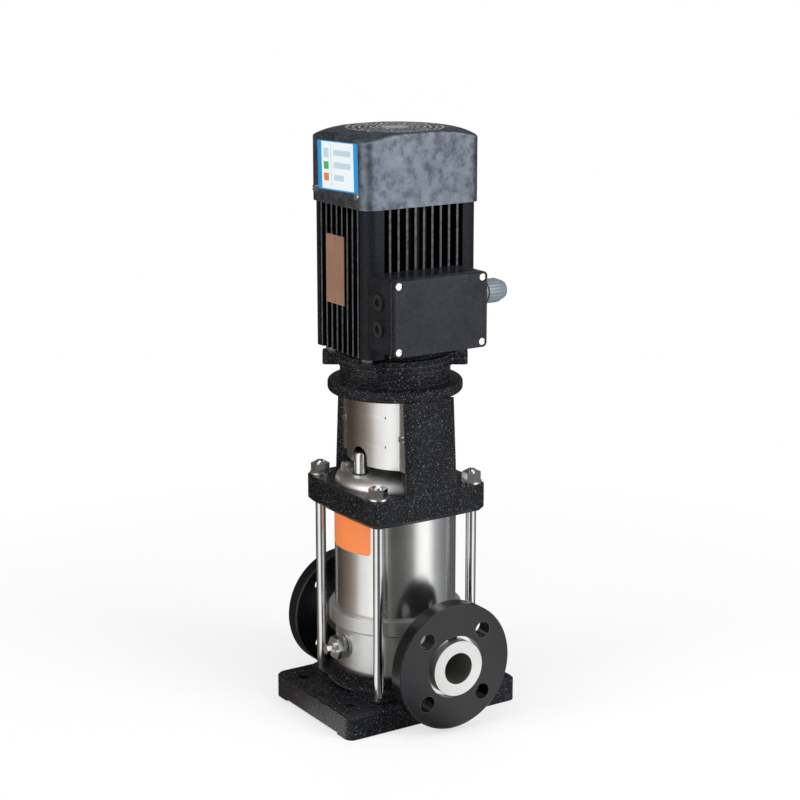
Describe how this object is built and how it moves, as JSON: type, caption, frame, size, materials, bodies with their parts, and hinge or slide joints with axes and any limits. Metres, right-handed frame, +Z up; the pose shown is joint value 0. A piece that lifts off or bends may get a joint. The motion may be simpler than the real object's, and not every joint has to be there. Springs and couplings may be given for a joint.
{
  "type": "vertical multistage pump",
  "caption": "Vertical multistage centrifugal pump with in-line flanged ports, a stack of stages in a steel sleeve and a finned electric motor on top.",
  "frame": {"origin": "centre of the base's bolt pattern, in the plane that the base stands on", "axes": "+Z up along the shaft, +X out of the discharge port, +Y away from the side with the drain, vent and priming plugs"},
  "size_m": [0.25, 0.22, 0.6413],
  "materials": {
    "black_casting": "gloss",
    "motor_paint": "semi-gloss",
    "flange_paint": "gloss",
    "satin_stainless": "satin",
    "polished_stainless": "polished",
    "plated_steel": "bright",
    "ring_steel": "satin",
    "rubber": "matte",
    "pump_plastic": "matte",
    "seal_ceramic": "satin",
    "aluminium_cast": "satin",
    "copper_winding": "varnished",
    "lamination": "matte",
    "fan_plastic": "matte",
    "gland_plastic": "satin",
    "plug_plastic": "satin",
    "board_plastic": "satin",
    "plate_metal": "brushed"
  },
  "bodies": {
    "pump": {"base_plate": "black_casting", "pump_body": "satin_stainless", "flange_retaining_rings": "ring_steel", "outer_sleeve": "polished_stainless", "sleeve_o_rings": "rubber", "motor_stool": "black_casting", "pump_head_cover": "satin_stainless", "tie_rods": "plated_steel", "tie_rod_washers": "plated_steel", "tie_rod_nuts": "plated_steel", "inlet_support": "satin_stainless", "stage_chamber_1": "satin_stainless", "stage_chamber_2": "satin_stainless", "stage_chamber_3": "satin_stainless", "stage_chamber_4": "satin_stainless", "neck_rings": "pump_plastic", "outlet_chamber": "satin_stainless", "shaft_seal_seat": "seal_ceramic", "shaft_seal_gland": "satin_stainless", "coupling_guard_front": "polished_stainless", "coupling_guard_rear": "polished_stainless", "cover_screws": "plated_steel", "priming_plug": "plated_steel", "plug_seals": "rubber", "drain_plug": "plated_steel", "motor_frame": "motor_paint", "drive_end_shield": "black_casting", "fan_end_shield": "aluminium_cast", "stator_core": "lamination", "stator_windings": "copper_winding", "bearing_outer_rings": "plated_steel", "bearing_balls": "plated_steel", "fan_cover": "motor_paint", "terminal_box": "motor_paint", "terminal_box_gasket": "rubber", "terminal_box_lid": "motor_paint", "terminal_lid_screws": "plated_steel", "terminal_board": "board_plastic", "cable_gland": "gland_plastic", "blanking_plugs": "plug_plastic", "motor_bolts": "plated_steel", "rating_plate": "plate_metal"},
    "rotor": {"pump_shaft": "polished_stainless", "impeller_1": "satin_stainless", "impeller_2": "satin_stainless", "impeller_3": "satin_stainless", "impeller_4": "satin_stainless", "impeller_spacers": "satin_stainless", "impeller_lock_nut": "satin_stainless", "shaft_seal_head": "satin_stainless", "coupling_halves": "plated_steel", "coupling_screws": "plated_steel", "motor_shaft": "plated_steel", "rotor_core": "lamination", "bearing_inner_rings": "plated_steel", "cooling_fan": "fan_plastic"},
    "inlet_flange_body": {"inlet_flange": "flange_paint"},
    "outlet_flange_body": {"outlet_flange": "flange_paint"},
    "vent_body": {"vent_screw": "plated_steel"},
    "drain_spindle_body": {"drain_spindle": "plated_steel"}
  },
  "joints": [
    {"name": "shaft_turn", "type": "hinge", "parent": "pump", "child": "rotor", "pos_m": [0, 0, 0.3], "axis": [0, 0, 1], "continuous": true},
    {"name": "inlet_flange_turn", "type": "hinge", "parent": "pump", "child": "inlet_flange_body", "pos_m": [-0.11, 0, 0.075], "axis": [1, 0, 0], "continuous": true},
    {"name": "outlet_flange_turn", "type": "hinge", "parent": "pump", "child": "outlet_flange_body", "pos_m": [0.11, 0, 0.075], "axis": [1, 0, 0], "continuous": true},
    {"name": "vent_screw_turn", "type": "hinge", "parent": "pump", "child": "vent_body", "pos_m": [-0.0215, -0.05, 0.2715], "axis": [0, -1, 0], "range_deg": [0, 540]},
    {"name": "drain_spindle_turn", "type": "hinge", "parent": "pump", "child": "drain_spindle_body", "pos_m": [0, -0.08, 0.075], "axis": [0, -1, 0], "range_deg": [0, 540]}
  ]
}
